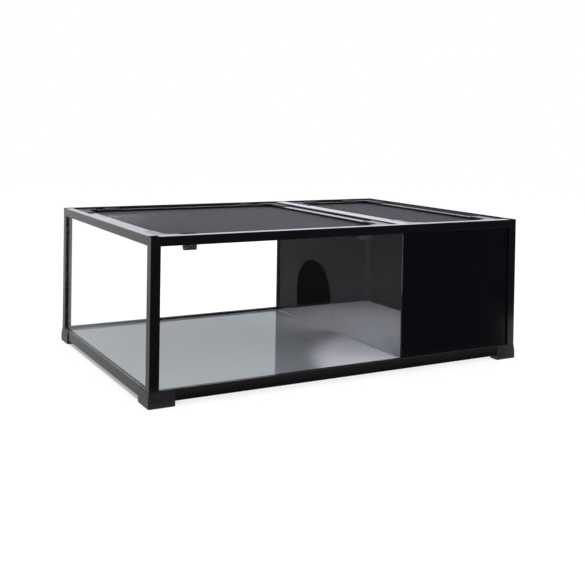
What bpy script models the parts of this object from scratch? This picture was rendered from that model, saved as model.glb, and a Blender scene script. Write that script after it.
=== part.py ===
"""Tortoise house: a low glass tank in a black frame, with a dark hide at its right end.

Metres, +Z up, the front towards -Y. The origin is on the ground, under the middle of the tank.
"""
import math

import bmesh
import bpy
from mathutils import Vector

for old in list(bpy.data.objects):
    bpy.data.objects.remove(old, do_unlink=True)

# Overall size, over the frame; the feet wrap its corners from outside
FRAME_LENGTH = 1.2200
FRAME_DEPTH = 0.8130
FRAME_HEIGHT = 0.4245
FOOT_DROP = 0.0135

# Clearance between pieces that touch
GAP = 0.0003

# Panes and the channel that every rail and post has for them
PANE_THICKNESS = 0.0040
OUTER_WALL = 0.0054
INNER_LIP = 0.0030
CHANNEL_DEPTH = 0.0120
CHANNEL_WIDTH = PANE_THICKNESS + 2 * GAP
LIP_FACE = OUTER_WALL + CHANNEL_WIDTH + INNER_LIP

# Corner posts, with a square chamber for the corner pegs
POST_WIDTH = 0.0275
CHAMBER_INSET = 0.0040
CHAMBER_WIDTH = 0.0070
PEG_LENGTH = 0.0200
PEG_WIDTH = CHAMBER_WIDTH - 2 * GAP
EDGE_RADIUS = 0.0012

# Bottom rails and the floor panel on their ledge
BOTTOM_RAIL_HEIGHT = 0.0308
FLOOR_LEDGE_HEIGHT = 0.0170
FLOOR_LEDGE_WIDTH = 0.0040
FLOOR_THICKNESS = 0.0060

# Top rails, with a box-shaped ledge inside that carries the lids
TOP_RAIL_HEIGHT = 0.0256
TOP_RAIL_WIDTH = 0.0240
LEDGE_WIDTH = 0.0090

# Divider, its doorway and its upright channels
DIVIDER_OFFSET = 0.1930
DIVIDER_THICKNESS = 0.0050
DOOR_WIDTH = 0.2340
DOOR_HEIGHT = 0.2220
DOOR_OFFSET = 0.1350
GUIDE_WIDTH = 0.0100
GUIDE_DEPTH = 0.0140
GUIDE_WEB = 0.0025
FRONT_JOINT_OFFSET = 0.0160

# Crossbar between the two lids
CROSSBAR_WIDTH = 0.0400
FINGER_GAP = 0.0080
CROSSBAR_SLOT_DEPTH = 0.0050

# Lids
LID_CLEARANCE = 0.0020
LID_RECESS = 0.0050
LID_HEIGHT = 0.0097
LID_RAIL_WIDTH = 0.0360
SCREEN_GROOVE_DEPTH = 0.0083
SCREEN_GROOVE_FLOOR = 0.0018
SCREEN_THICKNESS = 0.0012
SCREEN_PITCH = 0.0570
SCREEN_STRAND = 0.0040
CORNER_LEG_ACROSS = 0.0700
CORNER_LEG_ALONG = 0.1200
CORNER_THICKNESS = 0.0020
CORNER_GUSSET = 0.0140

# Hinges: a knuckle in a notch of the back top rail, its pin snapped into a seat on each side
KNUCKLE_LENGTH = 0.0310
KNUCKLE_RADIUS = 0.0032
KNUCKLE_CLEARANCE = 0.0008
PIN_LENGTH = 0.0620
PIN_RADIUS = 0.0013
SEAT_MOUTH = 0.0022
PIN_SETBACK = 0.0040
PIN_DROP = 0.0040
LEAF_LENGTH = 0.0540
LEAF_REACH = 0.0220
LEAF_THICKNESS = 0.0020
HINGE_INSET_LARGE = 0.1250
HINGE_INSET_SMALL = 0.1000

# Latches of the large lid: a thumb plate above its front rail and a hook below it
LATCH_INSET = 0.0985
LATCH_TRAVEL = 0.0080
LATCH_WIDTH = 0.0340
HOOK_HEIGHT = 0.0186
HOOK_REACH = 0.0100
STEM_WIDTH = 0.0240
STEM_DEPTH = 0.0080
THUMB_WIDTH = 0.0360
THUMB_DEPTH = 0.0240
THUMB_THICKNESS = 0.0026
HOOK_CLEARANCE = 0.0020

# Moulded corner feet
FOOT_LENGTH = 0.0739
FOOT_FLARE = 0.0034
FOOT_TOP = 0.0280
FOOT_TAPER = 0.0200
FOOT_TAPERED_WALL = 0.0012
FOOT_RADIUS = 0.0040
FOOT_POCKET_DEPTH = 0.0080
FOOT_RIB = 0.0030

# Heights worked out from the driving dimensions
FRAME_BOTTOM = FOOT_DROP
FRAME_TOP = FRAME_BOTTOM + FRAME_HEIGHT
TOP_RAIL_BOTTOM = FRAME_TOP - TOP_RAIL_HEIGHT
LID_TOP = FRAME_TOP - LID_RECESS
LID_BOTTOM = LID_TOP - LID_HEIGHT
LEDGE_TOP = LID_BOTTOM - GAP
FLOOR_TOP = FRAME_BOTTOM + FLOOR_LEDGE_HEIGHT + GAP + FLOOR_THICKNESS
PANE_BOTTOM = FRAME_BOTTOM + BOTTOM_RAIL_HEIGHT - CHANNEL_DEPTH + GAP
PANE_TOP = TOP_RAIL_BOTTOM + CHANNEL_DEPTH - GAP
PANE_INSET = POST_WIDTH - CHANNEL_DEPTH + GAP
PIN_HEIGHT = FRAME_TOP - PIN_DROP
HALF_LENGTH = FRAME_LENGTH / 2
HALF_DEPTH = FRAME_DEPTH / 2

# Places along the length: the crossbar is centred over the divider
DIVIDER_X = DIVIDER_OFFSET
CROSSBAR_LEFT = DIVIDER_X - CROSSBAR_WIDTH / 2
CROSSBAR_RIGHT = DIVIDER_X + CROSSBAR_WIDTH / 2
LID_EDGE_INSET = TOP_RAIL_WIDTH + LID_CLEARANCE
LARGE_LID = (-HALF_LENGTH + LID_EDGE_INSET, CROSSBAR_LEFT - FINGER_GAP)
SMALL_LID = (CROSSBAR_RIGHT + LID_CLEARANCE, HALF_LENGTH - LID_EDGE_INSET)
LID_FRONT = -HALF_DEPTH + LID_EDGE_INSET
LID_BACK = HALF_DEPTH - LID_EDGE_INSET
PIN_Y = HALF_DEPTH - TOP_RAIL_WIDTH + PIN_SETBACK


def material(name, colour, roughness, metallic=0.0, alpha=1.0):
    """A plain Principled material with the piece's own colour and gloss."""
    made = bpy.data.materials.new(name)
    made.use_nodes = True
    shader = made.node_tree.nodes["Principled BSDF"]
    shader.inputs["Base Color"].default_value = (*colour, 1.0)
    shader.inputs["Roughness"].default_value = roughness
    shader.inputs["Metallic"].default_value = metallic
    shader.inputs["Alpha"].default_value = alpha
    made.diffuse_color = (*colour, alpha)
    return made


FRAME_PLASTIC = ((0.012, 0.012, 0.014), 0.32)
FOOT_PLASTIC = ((0.016, 0.016, 0.018), 0.45)
CLEAR_GLASS = ((0.80, 0.86, 0.85), 0.03, 0.0, 0.25)
BLACK_PANEL = ((0.008, 0.008, 0.010), 0.18)
FLOOR_GREY = ((0.115, 0.115, 0.120), 0.12)
SCREEN_BLACK = ((0.090, 0.088, 0.095), 0.55, 0.4)
PIN_STEEL = ((0.55, 0.55, 0.56), 0.30, 1.0)
LATCH_PLASTIC = ((0.014, 0.014, 0.016), 0.38)


def add_object(name, mesh_data, finish):
    """Puts a bmesh into the scene as one named object with its own material."""
    bmesh.ops.recalc_face_normals(mesh_data, faces=mesh_data.faces)
    mesh = bpy.data.meshes.new(name)
    mesh_data.to_mesh(mesh)
    mesh_data.free()
    mesh.materials.append(material(name, *finish))
    made = bpy.data.objects.new(name, mesh)
    bpy.context.scene.collection.objects.link(made)
    return made


def outline(corners, steps=3):
    """Closed outline from corners (a, b) or (a, b, radius); a radius rounds that corner."""
    points = []
    for index, corner in enumerate(corners):
        here = Vector(corner[:2])
        if len(corner) == 2:
            points.append(tuple(here))
            continue
        radius = corner[2]
        before = (Vector(corners[index - 1][:2]) - here).normalized()
        after = (Vector(corners[(index + 1) % len(corners)][:2]) - here).normalized()
        half_angle = before.angle(after) / 2
        centre = here + (before + after).normalized() * radius / math.sin(half_angle)
        start = here + before * radius / math.tan(half_angle) - centre
        turn = start.angle_signed(here + after * radius / math.tan(half_angle) - centre)
        for step in range(steps + 1):
            angle = -turn * step / steps
            spoke = Vector((start.x * math.cos(angle) - start.y * math.sin(angle),
                            start.x * math.sin(angle) + start.y * math.cos(angle)))
            points.append(tuple(centre + spoke))
    return points


def arc(centre, radius, start_deg, end_deg, steps):
    """Points of an arc, both ends included."""
    angles = [math.radians(start_deg + (end_deg - start_deg) * step / steps) for step in range(steps + 1)]
    return [(centre[0] + radius * math.cos(a), centre[1] + radius * math.sin(a)) for a in angles]


def loft_into(mesh_data, loops):
    """Adds a closed skin through loops of points, with a cap on the first and the last loop."""
    rings = [[mesh_data.verts.new(point) for point in loop] for loop in loops]
    count = len(rings[0])
    for lower, upper in zip(rings[:-1], rings[1:]):
        for index in range(count):
            after = (index + 1) % count
            mesh_data.faces.new((lower[index], lower[after], upper[after], upper[index]))
    mesh_data.faces.new(rings[0])
    mesh_data.faces.new(rings[-1])


def loft(name, loops, finish):
    """A closed body through loops of points."""
    mesh_data = bmesh.new()
    loft_into(mesh_data, loops)
    return add_object(name, mesh_data, finish)


def box_loops(low, high):
    """The two loops of a box between its low and high corners."""
    return [[(low[0], low[1], z), (high[0], low[1], z), (high[0], high[1], z), (low[0], high[1], z)]
            for z in (low[2], high[2])]


def box(name, low, high, finish):
    return loft(name, box_loops(low, high), finish)


def cutter(name, bodies):
    """Bodies that only cut: kept out of the model, drawn as wire."""
    mesh_data = bmesh.new()
    for loops in bodies:
        loft_into(mesh_data, loops)
    made = add_object(name, mesh_data, FRAME_PLASTIC)
    made.hide_render = True
    made.display_type = "WIRE"
    return made


def apply_boolean(target, other, operation):
    """Cuts another object from the target, or joins it on."""
    modifier = target.modifiers.new(operation.title(), "BOOLEAN")
    modifier.operation = operation
    modifier.solver = "EXACT"
    modifier.object = other


def cut(target, bodies):
    """Cuts bodies away; the ones in a single call don't overlap."""
    apply_boolean(target, cutter(target.name + "_cut", bodies), "DIFFERENCE")


def join(target, bodies):
    """Joins bodies on; the ones in a single call don't overlap."""
    apply_boolean(target, cutter(target.name + "_add", bodies), "UNION")


def shade_smooth(target, angle_deg=40.0):
    """Smooth shading on round pieces, with their real edges kept sharp."""
    target.data.shade_smooth()
    target.data.set_sharp_from_angle(angle=math.radians(angle_deg))


# Each side of the tank has its own (inward, along, height) coordinates
def on_front(inward, along, height):
    return (along, -HALF_DEPTH + inward, height)


def on_back(inward, along, height):
    return (along, HALF_DEPTH - inward, height)


def on_left(inward, along, height):
    return (-HALF_LENGTH + inward, along, height)


def on_right(inward, along, height):
    return (HALF_LENGTH - inward, along, height)


SIDES = {"front": (on_front, HALF_LENGTH), "back": (on_back, HALF_LENGTH),
         "left": (on_left, HALF_DEPTH), "right": (on_right, HALF_DEPTH)}
CORNERS = {"front_left": (-1, -1), "front_right": (1, -1), "back_left": (-1, 1), "back_right": (1, 1)}


def in_corner(corner, a, b, height):
    """A point a and b inward from the frame's corner, along X and along Y."""
    sign_x, sign_y = CORNERS[corner]
    return (sign_x * (HALF_LENGTH - a), sign_y * (HALF_DEPTH - b), height)


def corner_box(corner, low, high):
    """The loops of a box given inward from the frame's corner."""
    return [[in_corner(corner, low[0], low[1], z), in_corner(corner, high[0], low[1], z),
             in_corner(corner, high[0], high[1], z), in_corner(corner, low[0], high[1], z)]
            for z in (low[2], high[2])]


def side_box(place, low, high):
    """The loops of a box given as (inward, along, height) on one side."""
    return [[place(low[0], low[1], z), place(high[0], low[1], z),
             place(high[0], high[1], z), place(low[0], high[1], z)] for z in (low[2], high[2])]


def rail(name, place, section, base, start, end, finish, mitre=0.0):
    """A profile along one side; a mitre of 1 cuts both ends back by the inward distance."""
    loops = []
    for along, inward_shift in ((start, mitre), (end, -mitre)):
        loops.append([place(u, along + inward_shift * u, base + v) for u, v in section])
    return loft(name, loops, finish)


# Bottom frame: rails between the posts, with the pane channel and the floor ledge
BOTTOM_SECTION = outline([
    (0.0, 0.0, EDGE_RADIUS), (LIP_FACE + FLOOR_LEDGE_WIDTH, 0.0),
    (LIP_FACE + FLOOR_LEDGE_WIDTH, FLOOR_LEDGE_HEIGHT),
    (LIP_FACE, FLOOR_LEDGE_HEIGHT), (LIP_FACE, BOTTOM_RAIL_HEIGHT),
    (OUTER_WALL + CHANNEL_WIDTH, BOTTOM_RAIL_HEIGHT),
    (OUTER_WALL + CHANNEL_WIDTH, BOTTOM_RAIL_HEIGHT - CHANNEL_DEPTH),
    (OUTER_WALL, BOTTOM_RAIL_HEIGHT - CHANNEL_DEPTH), (OUTER_WALL, BOTTOM_RAIL_HEIGHT),
    (0.0, BOTTOM_RAIL_HEIGHT, EDGE_RADIUS)])


def build_bottom_rails():
    for side, (place, half) in SIDES.items():
        reach = half - POST_WIDTH - GAP
        rail(side + "_bottom_rail", place, BOTTOM_SECTION, FRAME_BOTTOM, -reach, reach, FRAME_PLASTIC)


# Posts: an angle with a channel in each leg for the two panes that meet there
POST_SECTION = outline([
    (0.0, 0.0, EDGE_RADIUS), (POST_WIDTH, 0.0, EDGE_RADIUS), (POST_WIDTH, OUTER_WALL),
    (POST_WIDTH - CHANNEL_DEPTH, OUTER_WALL), (POST_WIDTH - CHANNEL_DEPTH, OUTER_WALL + CHANNEL_WIDTH),
    (POST_WIDTH, OUTER_WALL + CHANNEL_WIDTH), (POST_WIDTH, LIP_FACE), (LIP_FACE, LIP_FACE),
    (LIP_FACE, POST_WIDTH), (OUTER_WALL + CHANNEL_WIDTH, POST_WIDTH),
    (OUTER_WALL + CHANNEL_WIDTH, POST_WIDTH - CHANNEL_DEPTH), (OUTER_WALL, POST_WIDTH - CHANNEL_DEPTH),
    (OUTER_WALL, POST_WIDTH), (0.0, POST_WIDTH, EDGE_RADIUS)])


def build_posts():
    low, high = CHAMBER_INSET, CHAMBER_INSET + CHAMBER_WIDTH
    for corner in CORNERS:
        bottom, top = FRAME_BOTTOM, TOP_RAIL_BOTTOM - GAP
        loops = [[in_corner(corner, a, b, z) for a, b in POST_SECTION] for z in (bottom, top)]
        post = loft("post_" + corner, loops, FRAME_PLASTIC)
        cut(post, [corner_box(corner, (low, low, bottom - POST_WIDTH), (high, high, top + POST_WIDTH))])


# Top frame: rails between the corner pieces, with a channel below and a ledge inside
LEDGE_TOP_IN_RAIL = LEDGE_TOP - TOP_RAIL_BOTTOM
TOP_SECTION = outline([
    (0.0, 0.0, EDGE_RADIUS), (OUTER_WALL, 0.0), (OUTER_WALL, CHANNEL_DEPTH),
    (OUTER_WALL + CHANNEL_WIDTH, CHANNEL_DEPTH), (OUTER_WALL + CHANNEL_WIDTH, 0.0),
    (TOP_RAIL_WIDTH + LEDGE_WIDTH, 0.0),
    (TOP_RAIL_WIDTH + LEDGE_WIDTH, LEDGE_TOP_IN_RAIL), (TOP_RAIL_WIDTH, LEDGE_TOP_IN_RAIL),
    (TOP_RAIL_WIDTH, TOP_RAIL_HEIGHT, EDGE_RADIUS), (0.0, TOP_RAIL_HEIGHT, EDGE_RADIUS)])
CHAMBER_TOP = FRAME_TOP - CHAMBER_INSET
CHAMBER_BOTTOM = CHAMBER_TOP - CHAMBER_WIDTH


def pair_of_centres(lid_span, inset):
    return (lid_span[0] + inset, lid_span[1] - inset)


HINGES = {"large": pair_of_centres(LARGE_LID, HINGE_INSET_LARGE),
          "small": pair_of_centres(SMALL_LID, HINGE_INSET_SMALL)}


def along_x(section, x, half):
    """Loops of a (y, z) section from x - half to x + half."""
    return [[(at, y, z) for y, z in section] for at in (x - half, x + half)]


def pin_circle(radius, steps=12):
    """A circle of points round the hinge axis, in (y, z)."""
    return arc((PIN_Y, PIN_HEIGHT), radius, 0, 360 - 360 / steps, steps - 1)


def knuckle_notch(x):
    """The notch that a hinge's knuckle turns in, open to the inside and above."""
    running = KNUCKLE_RADIUS + KNUCKLE_CLEARANCE
    half = KNUCKLE_LENGTH / 2 + GAP
    return box_loops((x - half, HALF_DEPTH - TOP_RAIL_WIDTH - GAP, PIN_HEIGHT - running),
                     (x + half, PIN_Y + running, FRAME_TOP + GAP))


def pin_seat(x):
    """A keyhole along the rail for the pin, open above by less than the pin's width."""
    mouth_deg = math.degrees(math.asin(SEAT_MOUTH / 2 / (PIN_RADIUS + GAP)))
    keyhole = arc((PIN_Y, PIN_HEIGHT), PIN_RADIUS + GAP, 90 + mouth_deg, 450 - mouth_deg, 12)
    keyhole += [(PIN_Y + SEAT_MOUTH / 2, FRAME_TOP + GAP), (PIN_Y - SEAT_MOUTH / 2, FRAME_TOP + GAP)]
    return along_x(keyhole, x, PIN_LENGTH / 2 + GAP)


def build_top_rails():
    chamber_far = CHAMBER_INSET + CHAMBER_WIDTH
    for side, (place, half) in SIDES.items():
        reach = half - TOP_RAIL_WIDTH - GAP
        made = rail(side + "_top_rail", place, TOP_SECTION, TOP_RAIL_BOTTOM, -reach, reach, FRAME_PLASTIC)
        holes = [side_box(place, (CHAMBER_INSET, -half, CHAMBER_BOTTOM), (chamber_far, half, CHAMBER_TOP))]
        if side in ("left", "right"):
            # The side rails' ledges stop at the front and back ledges
            inner = TOP_RAIL_WIDTH + LEDGE_WIDTH
            for sign in (-1, 1):
                holes.append(side_box(
                    place, (LIP_FACE + GAP, sign * (half - inner - GAP), TOP_RAIL_BOTTOM - GAP),
                    (inner + GAP, sign * half, LEDGE_TOP)))
        cut(made, holes)
        if side == "back":
            centres = [x for pair in HINGES.values() for x in pair]
            cut(made, [knuckle_notch(x) for x in centres])
            cut(made, [pin_seat(x) for x in centres])


def build_top_corners():
    """Three-way corner pieces: a block with the pane channels, and a peg into each neighbour."""
    width = TOP_RAIL_WIDTH
    slot_low, slot_high = OUTER_WALL, OUTER_WALL + CHANNEL_WIDTH
    slot_start = POST_WIDTH - CHANNEL_DEPTH
    slot_top = TOP_RAIL_BOTTOM + CHANNEL_DEPTH
    below = TOP_RAIL_BOTTOM - GAP
    section = outline([(0.0, 0.0, EDGE_RADIUS), (width, 0.0), (width, width), (0.0, width)])
    for corner in CORNERS:
        loops = [[in_corner(corner, a, b, z) for a, b in section] for z in (TOP_RAIL_BOTTOM, FRAME_TOP)]
        made = loft("top_corner_" + corner, loops, FRAME_PLASTIC)
        cut(made, [
            corner_box(corner, (slot_start, slot_low, below), (width + GAP, slot_high, slot_top)),
            corner_box(corner, (slot_low, slot_start, below), (slot_high, width + GAP, slot_top)),
            corner_box(corner, (LIP_FACE, LIP_FACE, below), (width + GAP, width + GAP, slot_top))])
        near = CHAMBER_INSET + GAP
        far = near + PEG_WIDTH
        low, high = CHAMBER_BOTTOM + GAP, CHAMBER_TOP - GAP
        root = width - PEG_WIDTH / 2
        join(made, [
            corner_box(corner, (root, near, low), (width + PEG_LENGTH, far, high)),
            corner_box(corner, (near, root, low), (far, width + PEG_LENGTH, high)),
            corner_box(corner, (near, near, TOP_RAIL_BOTTOM - PEG_LENGTH),
                       (far, far, TOP_RAIL_BOTTOM + PEG_WIDTH / 2))])


# Feet: a shoe round the bottom corner, with a peg up into the post
def foot_plan(offset, length):
    """The foot's L-shaped plan, its outer faces standing proud of the frame by offset."""
    return outline([(-offset, -offset, FOOT_RADIUS), (length, -offset), (length, POST_WIDTH),
                    (POST_WIDTH, POST_WIDTH), (POST_WIDTH, length), (-offset, length)])


def build_feet():
    length = FOOT_LENGTH - FOOT_FLARE
    bevel = EDGE_RADIUS
    levels = [(0.0, FOOT_FLARE - bevel, length - bevel), (bevel, FOOT_FLARE, length),
              (FRAME_BOTTOM + FOOT_TOP - FOOT_TAPER, FOOT_FLARE, length),
              (FRAME_BOTTOM + FOOT_TOP, FOOT_TAPERED_WALL, length)]
    near = CHAMBER_INSET + GAP
    far = near + PEG_WIDTH
    seat = FRAME_BOTTOM - GAP
    for corner in CORNERS:
        loops = [[in_corner(corner, a, b, z) for a, b in foot_plan(offset, reach)]
                 for z, offset, reach in levels]
        foot = loft("foot_" + corner, loops, FOOT_PLASTIC)
        arm = (FOOT_RIB, POST_WIDTH - FOOT_RIB)
        split = POST_WIDTH + FOOT_RIB
        end = length - FOOT_RIB
        cut(foot, [
            corner_box(corner, (-GAP, -GAP, seat), (FOOT_LENGTH, FOOT_LENGTH, FRAME_BOTTOM + 2 * FOOT_TOP)),
            corner_box(corner, (arm[0], arm[0], -GAP), (arm[1], arm[1], FOOT_POCKET_DEPTH)),
            corner_box(corner, (split, arm[0], -GAP), (end, arm[1], FOOT_POCKET_DEPTH)),
            corner_box(corner, (arm[0], split, -GAP), (arm[1], end, FOOT_POCKET_DEPTH))])
        join(foot, [corner_box(corner, (near, near, (seat + FOOT_POCKET_DEPTH) / 2),
                               (far, far, FRAME_BOTTOM + PEG_LENGTH))])


# Panes: clear glass round the main room, black panels round the hide
def pane(name, place, start, end, finish):
    near, far = OUTER_WALL + GAP, OUTER_WALL + GAP + PANE_THICKNESS
    return loft(name, side_box(place, (near, start, PANE_BOTTOM), (far, end, PANE_TOP)), finish)


def build_panes():
    front_joint = DIVIDER_X - FRONT_JOINT_OFFSET
    x_end = HALF_LENGTH - PANE_INSET
    y_end = HALF_DEPTH - PANE_INSET
    pane("front_glass", on_front, -x_end, front_joint - GAP, CLEAR_GLASS)
    pane("front_hide_panel", on_front, front_joint, x_end, BLACK_PANEL)
    pane("left_glass", on_left, -y_end, y_end, CLEAR_GLASS)
    pane("right_hide_panel", on_right, -y_end, y_end, BLACK_PANEL)
    pane("back_glass", on_back, -x_end, DIVIDER_X - GAP, CLEAR_GLASS)
    pane("back_hide_panel", on_back, DIVIDER_X, x_end, BLACK_PANEL)
    edge = LIP_FACE + GAP
    box("floor_panel", (-HALF_LENGTH + edge, -HALF_DEPTH + edge, FLOOR_TOP - FLOOR_THICKNESS),
        (HALF_LENGTH - edge, HALF_DEPTH - edge, FLOOR_TOP), FLOOR_GREY)


# Divider with its arched doorway, held by an upright channel at each end
def build_divider():
    sheet_inset = LIP_FACE + GAP + GUIDE_WEB + GAP
    front, back = -HALF_DEPTH + sheet_inset, HALF_DEPTH - sheet_inset
    base = FLOOR_TOP + GAP
    top = TOP_RAIL_BOTTOM + CROSSBAR_SLOT_DEPTH - 2 * GAP
    radius = DOOR_WIDTH / 2
    spring = FLOOR_TOP + DOOR_HEIGHT - radius
    doorway = [(DOOR_OFFSET + radius, base)]
    doorway += arc((DOOR_OFFSET, spring), radius, 0, 180, 28)
    doorway += [(DOOR_OFFSET - radius, base)]
    # Its upper corners are notched, to pass under the rails' ledges
    shoulder = TOP_RAIL_BOTTOM - GAP
    inner = HALF_DEPTH - TOP_RAIL_WIDTH - LEDGE_WIDTH - GAP
    section = [(front, base), (front, shoulder), (-inner, shoulder), (-inner, top), (inner, top),
               (inner, shoulder), (back, shoulder), (back, base)] + doorway
    half = DIVIDER_THICKNESS / 2
    loft("divider", [[(x, y, z) for y, z in section] for x in (DIVIDER_X - half, DIVIDER_X + half)],
         CLEAR_GLASS)
    slot = DIVIDER_THICKNESS / 2 + GAP
    width = GUIDE_WIDTH / 2
    for name, place in (("divider_front_channel", on_front), ("divider_back_channel", on_back)):
        inner = LIP_FACE + GAP
        plan = [(inner, -width), (inner + GUIDE_DEPTH, -width), (inner + GUIDE_DEPTH, -slot),
                (inner + GUIDE_WEB, -slot), (inner + GUIDE_WEB, slot), (inner + GUIDE_DEPTH, slot),
                (inner + GUIDE_DEPTH, width), (inner, width)]
        loops = [[place(u, DIVIDER_X + along, z) for u, along in plan]
                 for z in (FLOOR_TOP + GAP, TOP_RAIL_BOTTOM - GAP)]
        loft(name, loops, FRAME_PLASTIC)


def build_crossbar():
    """The bar between the lids: a ledge on each side, a slot below for the divider."""
    half = CROSSBAR_WIDTH / 2
    slot = DIVIDER_THICKNESS / 2 + GAP
    left_ledge = half + FINGER_GAP + LEDGE_WIDTH
    right_ledge = half + LEDGE_WIDTH
    bottom, slot_top = TOP_RAIL_BOTTOM, TOP_RAIL_BOTTOM + CROSSBAR_SLOT_DEPTH
    section = outline([
        (-left_ledge, bottom), (-slot, bottom), (-slot, slot_top), (slot, slot_top), (slot, bottom),
        (right_ledge, bottom), (right_ledge, LEDGE_TOP), (half, LEDGE_TOP),
        (half, FRAME_TOP, EDGE_RADIUS), (-half, FRAME_TOP, EDGE_RADIUS), (-half, LEDGE_TOP),
        (-left_ledge, LEDGE_TOP)])
    reach = HALF_DEPTH - TOP_RAIL_WIDTH - GAP
    loops = [[(DIVIDER_X + x, y, z) for x, z in section] for y in (-reach, reach)]
    crossbar = loft("crossbar", loops, FRAME_PLASTIC)
    # Each end is notched below, and rests on the ledge of the front or the back rail
    notch = reach - LEDGE_WIDTH
    low, high = DIVIDER_X - 2 * left_ledge, DIVIDER_X + 2 * left_ledge
    cut(crossbar, [box_loops((low, -HALF_DEPTH, bottom - GAP), (high, -notch, LEDGE_TOP + GAP)),
                   box_loops((low, notch, bottom - GAP), (high, HALF_DEPTH, LEDGE_TOP + GAP))])


# Lids: mitred rails that grip a screen, a plate over each corner
GROOVE_HEIGHT = SCREEN_THICKNESS + 2 * GAP
LID_SECTION = outline([
    (0.0, 0.0), (LID_RAIL_WIDTH, 0.0), (LID_RAIL_WIDTH, SCREEN_GROOVE_FLOOR),
    (LID_RAIL_WIDTH - SCREEN_GROOVE_DEPTH, SCREEN_GROOVE_FLOOR),
    (LID_RAIL_WIDTH - SCREEN_GROOVE_DEPTH, SCREEN_GROOVE_FLOOR + GROOVE_HEIGHT),
    (LID_RAIL_WIDTH, SCREEN_GROOVE_FLOOR + GROOVE_HEIGHT), (LID_RAIL_WIDTH, LID_HEIGHT, EDGE_RADIUS),
    (0.0, LID_HEIGHT, EDGE_RADIUS)])


def lid_sides(span):
    """The four sides of a lid: how a point is placed, and where the rail runs."""
    left, right = span
    return {"front": (lambda u, s, z: (s, LID_FRONT + u, z), left, right),
            "back": (lambda u, s, z: (s, LID_BACK - u, z), left, right),
            "left": (lambda u, s, z: (left + u, s, z), LID_FRONT, LID_BACK),
            "right": (lambda u, s, z: (right - u, s, z), LID_FRONT, LID_BACK)}


def latch_slot():
    """How far in from the lid's front edge the stem's slot starts and ends."""
    hook_front = TOP_RAIL_WIDTH + LEDGE_WIDTH + HOOK_CLEARANCE - LID_EDGE_INSET
    stem_front = hook_front + HOOK_REACH
    return stem_front - LATCH_TRAVEL - GAP, stem_front + STEM_DEPTH + GAP


def build_lid_rails(lid, span):
    mitre_gap = GAP * math.sqrt(2) / 2
    for side, (place, start, end) in lid_sides(span).items():
        made = rail(f"{lid}_lid_{side}_rail", place, LID_SECTION, LID_BOTTOM,
                    start + mitre_gap, end - mitre_gap, FRAME_PLASTIC, mitre=1.0)
        if side == "front" and lid == "large":
            near, far = latch_slot()
            half = STEM_WIDTH / 2 + GAP
            cut(made, [side_box(place, (near, x - half, LID_BOTTOM - GAP), (far, x + half, LID_TOP + GAP))
                       for x in pair_of_centres(span, LATCH_INSET)])


def build_lid_corners(lid, span):
    """L-shaped plates over the mitres, with a rounded gusset in the inner corner."""
    width = LID_RAIL_WIDTH
    plan = outline([(0.0, 0.0, 2 * EDGE_RADIUS), (CORNER_LEG_ACROSS, 0.0, EDGE_RADIUS),
                    (CORNER_LEG_ACROSS, width, EDGE_RADIUS), (width + CORNER_GUSSET, width),
                    (width, width + CORNER_GUSSET), (width, CORNER_LEG_ALONG, EDGE_RADIUS),
                    (0.0, CORNER_LEG_ALONG, EDGE_RADIUS)])
    top = LID_TOP + GAP + CORNER_THICKNESS
    for side_y, edge_y, sign_y in (("front", LID_FRONT, 1), ("back", LID_BACK, -1)):
        for side_x, edge_x, sign_x in (("left", span[0], 1), ("right", span[1], -1)):
            loops = [[(edge_x + sign_x * a, edge_y + sign_y * b, z) for a, b in plan]
                     for z in (LID_TOP + GAP, top)]
            loft(f"{lid}_lid_corner_{side_y}_{side_x}", loops, FRAME_PLASTIC)


def build_screen(lid, span):
    """The screen as a flat net: square gaps between crossing strands, with a solid selvedge."""
    inset = LID_RAIL_WIDTH - SCREEN_GROOVE_DEPTH + GAP
    bottom = LID_BOTTOM + SCREEN_GROOVE_FLOOR + GAP

    def strand_edges(low, high):
        """Edges of the strands from low to high: selvedge, then gap and strand in turn."""
        inner_low, inner_high = low + SCREEN_GROOVE_DEPTH, high - SCREEN_GROOVE_DEPTH
        count = max(2, round((inner_high - inner_low) / SCREEN_PITCH))
        pitch = (inner_high - inner_low + SCREEN_STRAND) / count
        edges = [low]
        for index in range(count):
            gap_start = inner_low + index * pitch
            edges += [gap_start, gap_start + pitch - SCREEN_STRAND]
        return edges + [high]

    xs = strand_edges(span[0] + inset, span[1] - inset)
    ys = strand_edges(LID_FRONT + inset, LID_BACK - inset)
    net = bmesh.new()
    grid = [[net.verts.new((x, y, bottom)) for y in ys] for x in xs]
    for i in range(len(xs) - 1):
        for j in range(len(ys) - 1):
            if i % 2 == 1 and j % 2 == 1:
                continue
            net.faces.new((grid[i][j], grid[i + 1][j], grid[i + 1][j + 1], grid[i][j + 1]))
    raised = bmesh.ops.extrude_face_region(net, geom=list(net.faces), use_keep_orig=True)
    moved = [item for item in raised["geom"] if isinstance(item, bmesh.types.BMVert)]
    bmesh.ops.translate(net, verts=moved, vec=(0.0, 0.0, SCREEN_THICKNESS))
    add_object(f"{lid}_lid_screen", net, SCREEN_BLACK)


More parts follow.
